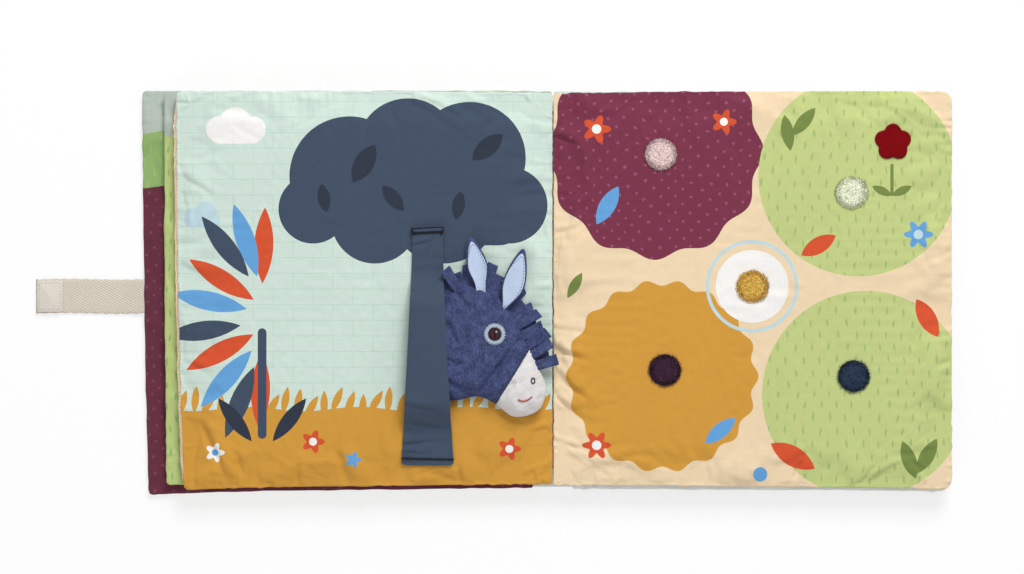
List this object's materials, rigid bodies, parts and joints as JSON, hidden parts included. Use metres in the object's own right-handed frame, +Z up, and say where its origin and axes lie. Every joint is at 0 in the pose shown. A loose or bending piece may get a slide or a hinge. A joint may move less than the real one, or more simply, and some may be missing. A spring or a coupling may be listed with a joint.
{
  "type": "soft cloth activity book",
  "caption": "Padded cloth book for a baby, open at its middle pages, with a finger puppet under a strap, raised touch discs and a closing tape.",
  "frame": {"origin": "under the middle of the spine, on the surface that the open book lies on", "axes": "+X from the front cover to the back cover, +Y to the head of the pages, +Z up"},
  "size_m": [0.506, 0.2227, 0.0261],
  "materials": {
    "wadding": "loose polyester wadding, white",
    "mint_print": "printed cotton, pale mint with faint brick lines",
    "meadow_print": "printed cotton, mint ground with ochre, navy, orange and light blue shapes",
    "maroon_print": "printed cotton, maroon with small pale dots",
    "green_print": "printed cotton, yellow green with short dashes",
    "sand_print": "printed cotton, sand ground with maroon, green and ochre rounds",
    "navy_cotton": "plain cotton, dark slate blue, folded and top-stitched",
    "twill_tape": "herringbone cotton tape, natural",
    "hook_and_loop": "woven nylon hook and loop patch, natural",
    "indigo_fleece": "short-pile fleece, indigo",
    "blue_felt": "felt, pale lavender blue",
    "cream_felt": "felt, cream",
    "red_velvet": "velvet, dark red",
    "dark_thread": "satin-stitched thread, very dark brown",
    "cream_thread": "looped embroidery thread, cream",
    "rose_thread": "looped embroidery thread, pale rose",
    "ochre_thread": "looped embroidery thread, ochre",
    "plum_thread": "looped embroidery thread, dark plum",
    "navy_thread": "looped embroidery thread, navy"
  },
  "bodies": {
    "back_cover": {"back_cover_upper_cloth": "mint_print", "back_cover_lower_cloth": "mint_print", "back_cover_wadding": "wadding", "spine_strip": "mint_print", "gutter_binding": "mint_print", "closure_loop_patch": "hook_and_loop"},
    "front_cover": {"front_cover_upper_cloth": "maroon_print", "front_cover_lower_cloth": "mint_print", "front_cover_wadding": "wadding"},
    "tape_band": {"closure_tape_band": "twill_tape"},
    "tape_end": {"closure_tape_end": "twill_tape", "closure_hook_patch": "hook_and_loop"},
    "leaf_1": {"leaf_1_upper_cloth": "green_print", "leaf_1_lower_cloth": "mint_print", "leaf_1_wadding": "wadding"},
    "leaf_2": {"leaf_2_upper_cloth": "meadow_print", "leaf_2_lower_cloth": "sand_print", "leaf_2_wadding": "wadding", "page_strap": "navy_cotton"},
    "puppet": {"puppet_head": "indigo_fleece", "puppet_muzzle": "cream_felt", "puppet_neck": "indigo_fleece", "puppet_ear_near_back": "indigo_fleece", "puppet_ear_near_lining": "blue_felt", "puppet_ear_far_back": "indigo_fleece", "puppet_ear_far_lining": "blue_felt", "puppet_mane": "indigo_fleece", "puppet_forelock": "indigo_fleece", "puppet_eye": "dark_thread"},
    "leaf_4": {"leaf_4_upper_cloth": "mint_print", "leaf_4_lower_cloth": "green_print", "leaf_4_wadding": "wadding"},
    "leaf_3": {"leaf_3_upper_cloth": "sand_print", "leaf_3_lower_cloth": "mint_print", "leaf_3_wadding": "wadding", "touch_disc_rose": "rose_thread", "touch_disc_cream": "cream_thread", "touch_disc_ochre": "ochre_thread", "touch_disc_plum": "plum_thread", "touch_disc_navy": "navy_thread", "velvet_flower": "red_velvet"}
  },
  "joints": [
    {"name": "front_cover_hinge", "type": "hinge", "parent": "back_cover", "child": "front_cover", "pos_m": [0, 0, 0.0217], "axis": [0, 1, 0], "range_deg": [0, 180]},
    {"name": "leaf_1_hinge", "type": "hinge", "parent": "front_cover", "child": "leaf_1", "pos_m": [0, 0, 0.0217], "axis": [0, 1, 0], "range_deg": [0, 180]},
    {"name": "leaf_2_hinge", "type": "hinge", "parent": "leaf_1", "child": "leaf_2", "pos_m": [0, 0, 0.0217], "axis": [0, 1, 0], "range_deg": [0, 180]},
    {"name": "leaf_4_hinge", "type": "hinge", "parent": "back_cover", "child": "leaf_4", "pos_m": [0, 0, 0.0217], "axis": [0, 1, 0], "range_deg": [-180, 0]},
    {"name": "leaf_3_hinge", "type": "hinge", "parent": "leaf_4", "child": "leaf_3", "pos_m": [0, 0, 0.0217], "axis": [0, 1, 0], "range_deg": [-180, 0]},
    {"name": "tape_hinge", "type": "hinge", "parent": "front_cover", "child": "tape_band", "pos_m": [-0.22492, 0, 0.00295], "axis": [0, 1, 0], "range_deg": [0, 90]},
    {"name": "tape_fold", "type": "hinge", "parent": "tape_band", "child": "tape_end", "pos_m": [-0.26697, 0, 0.0012], "axis": [0, 1, 0], "range_deg": [0, 90]},
    {"name": "puppet_slide", "type": "slide", "parent": "leaf_2", "child": "puppet", "axis": [1, 0, 0], "range_m": [0, 0.024]}
  ]
}
